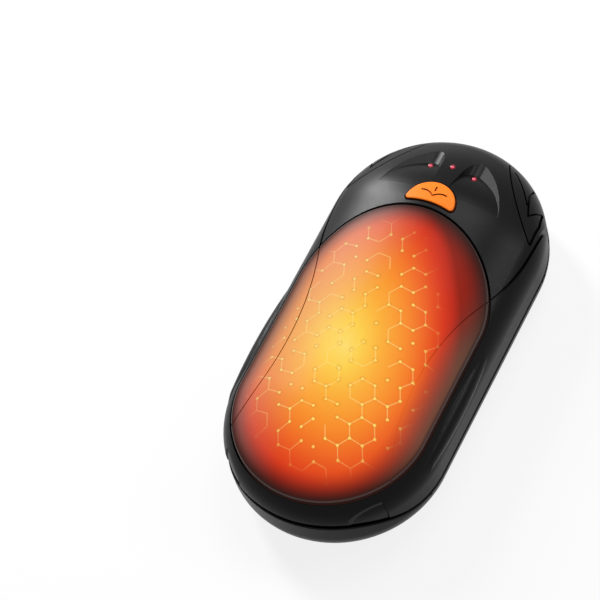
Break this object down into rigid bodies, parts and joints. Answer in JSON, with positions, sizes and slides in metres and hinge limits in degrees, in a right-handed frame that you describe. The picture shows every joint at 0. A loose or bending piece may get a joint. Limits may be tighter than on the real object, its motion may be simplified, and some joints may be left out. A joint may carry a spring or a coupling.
{
  "type": "rechargeable hand warmer",
  "caption": "Pebble-shaped rechargeable hand warmer with an animal face, glowing belly panel, beak power button and a charging socket in the head end.",
  "frame": {"origin": "middle of the flat back, which lies on the floor", "axes": "+X to the warmer's right side seen from the front, +Y towards the head end with the face and the charging socket, +Z out of the belly panel"},
  "size_m": [0.0506, 0.1, 0.0263],
  "materials": {
    "casing": "gloss",
    "panel": "satin translucent",
    "beak": "satin",
    "light_pipe": "clear",
    "heater_film": "satin",
    "spreader": "satin",
    "foam": "matte",
    "cell_sleeve": "satin",
    "nickel": "satin",
    "red_wire": "satin",
    "black_wire": "satin",
    "board": "satin",
    "steel": "satin",
    "black_plastic": "matte",
    "led": "gloss",
    "ceramic": "matte"
  },
  "bodies": {
    "casing": {"front_shell": "casing", "back_shell": "casing", "belly_panel": "panel", "light_guide": "light_pipe", "front_heater_film": "heater_film", "front_heat_spreader": "spreader", "front_insulation": "foam", "back_heater_film": "heater_film", "back_insulation": "foam", "right_cell": "cell_sleeve", "left_cell": "cell_sleeve", "tail_link_strip": "nickel", "positive_tab": "nickel", "negative_tab": "nickel", "positive_lead": "red_wire", "negative_lead": "black_wire", "main_board": "board", "board_screws": "steel", "charging_socket": "steel", "socket_tongue": "black_plastic", "switch_body": "black_plastic", "indicator_leds": "led", "power_inductor": "black_plastic", "controller_chip": "black_plastic", "board_capacitors": "ceramic"},
    "button": {"beak_button": "beak"},
    "plunger": {"switch_plunger": "black_plastic"}
  },
  "joints": [
    {"name": "button_press", "type": "slide", "parent": "casing", "child": "button", "axis": [0, 0, -1], "range_m": [0, 0.0005], "stiffness_N_per_m": 900, "springref_m": -0.0002},
    {"name": "plunger_press", "type": "slide", "parent": "casing", "child": "plunger", "axis": [0, 0, -1], "range_m": [0, 0.0005]}
  ],
  "couplings": [
    {"joint": "plunger_press", "follows": "button_press", "ratio": 1}
  ]
}
